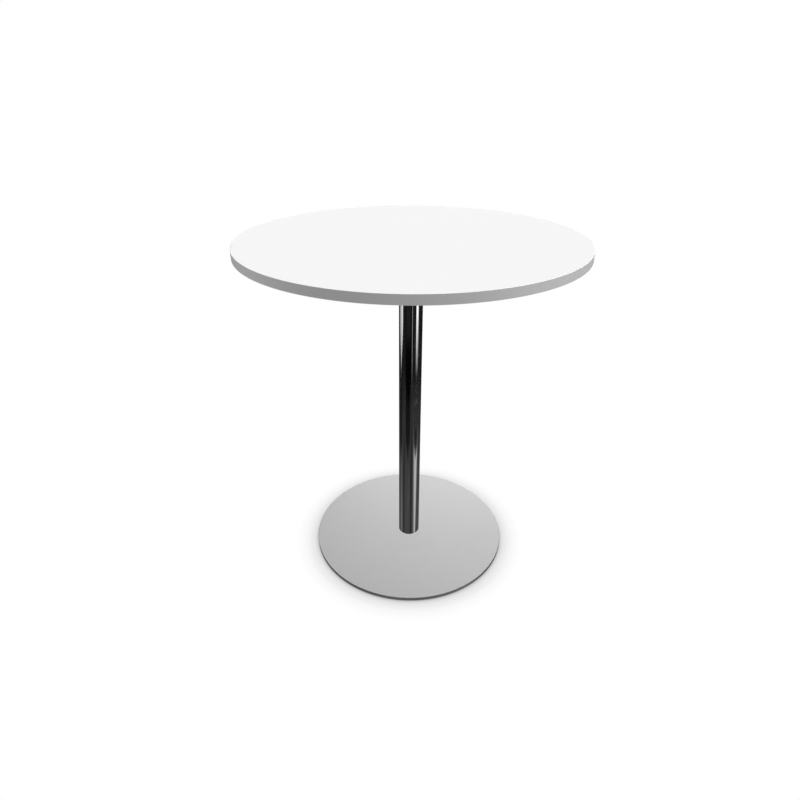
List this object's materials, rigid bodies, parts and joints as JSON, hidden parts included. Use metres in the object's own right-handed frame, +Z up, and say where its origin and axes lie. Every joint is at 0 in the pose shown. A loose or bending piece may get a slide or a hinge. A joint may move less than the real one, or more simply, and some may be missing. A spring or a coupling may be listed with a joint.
{
  "type": "round pedestal table",
  "caption": "Round table with a white laminated top and grey edge, a chromed tube column and a flat satin steel disc base, joined by a ribbed casting and a tie rod.",
  "frame": {"origin": "on the floor, at the axis of the column, under the centre of the base disc", "axes": "+Z up along the column; +X to the right and +Y away from someone in front. The table is round, so X and Y are fixed only by the arms of the casting, which lie at 45 degrees to them"},
  "size_m": [0.7, 0.7, 0.76],
  "materials": {
    "chipboard": "raw chipboard",
    "backing_laminate": "matt backing laminate",
    "white_laminate": "white fine-textured laminate",
    "grey_edging": "light grey plastic edging, satin",
    "black_casting": "black powder coat",
    "polished_chrome": "polished chrome plate",
    "satin_steel": "fine satin steel",
    "zinc_plate": "zinc plated",
    "floor_pad": "dark plastic glide pad"
  },
  "bodies": {
    "root": {"core_board": "chipboard", "backing_laminate": "backing_laminate", "top_laminate": "white_laminate", "edge_band": "grey_edging", "mounting_spider": "black_casting", "top_screw_1": "zinc_plate", "top_screw_2": "zinc_plate", "top_screw_3": "zinc_plate", "top_screw_4": "zinc_plate", "top_screw_5": "zinc_plate", "top_screw_6": "zinc_plate", "top_screw_7": "zinc_plate", "top_screw_8": "zinc_plate", "column_tube": "polished_chrome", "tie_rod": "zinc_plate", "tie_rod_washer": "zinc_plate", "tie_rod_nut": "zinc_plate", "column_foot_hub": "zinc_plate", "base_plate": "satin_steel", "base_bolt_1": "zinc_plate", "base_bolt_2": "zinc_plate", "base_bolt_3": "zinc_plate", "floor_pad_1": "floor_pad", "floor_pad_2": "floor_pad", "floor_pad_3": "floor_pad", "floor_pad_4": "floor_pad", "floor_pad_5": "floor_pad", "floor_pad_6": "floor_pad", "floor_pad_7": "floor_pad", "floor_pad_8": "floor_pad"}
  },
  "joints": []
}
